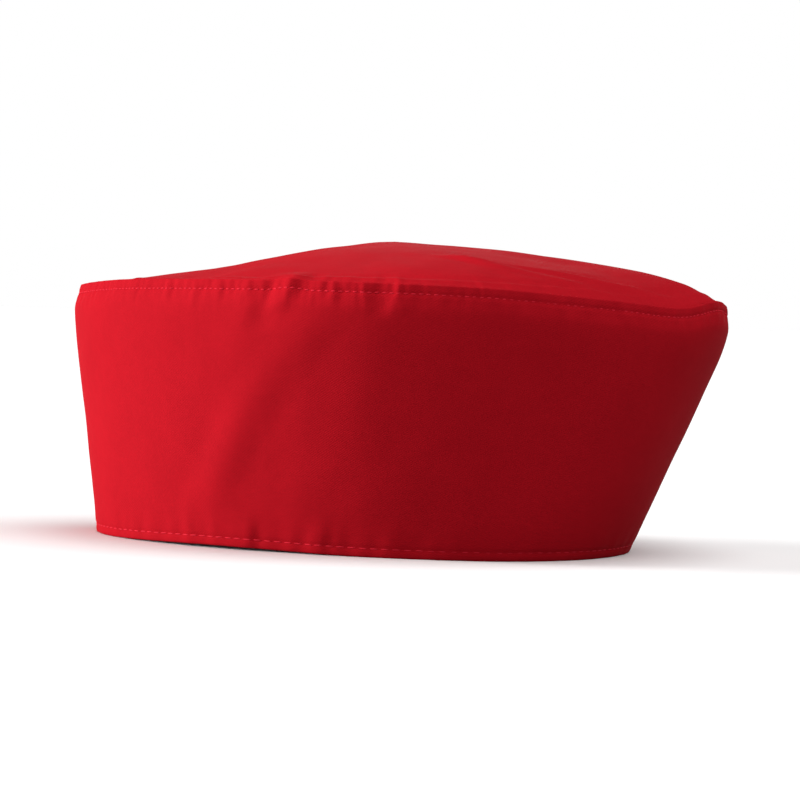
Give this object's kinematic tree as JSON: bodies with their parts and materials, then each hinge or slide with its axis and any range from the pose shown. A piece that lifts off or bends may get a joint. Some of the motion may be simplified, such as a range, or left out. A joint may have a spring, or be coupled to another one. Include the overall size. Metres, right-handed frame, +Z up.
{
  "type": "chef skull cap",
  "caption": "Low brimless cook's cap: an oval tented crown sewn into a plain band that leans out towards its top, with topstitched seam and hem.",
  "frame": {"origin": "on the floor under the middle of the cap's length and width, at the height of the hem", "axes": "+Z up, +Y towards the back of the cap, -Y towards the front, +X towards the wearer's left side"},
  "size_m": [0.2071, 0.2548, 0.1126],
  "materials": {
    "band_cloth": "matt red cotton-blend twill",
    "crown_cloth": "matt red cotton-blend twill"
  },
  "bodies": {
    "root": {"band": "band_cloth", "crown": "crown_cloth"}
  },
  "joints": []
}
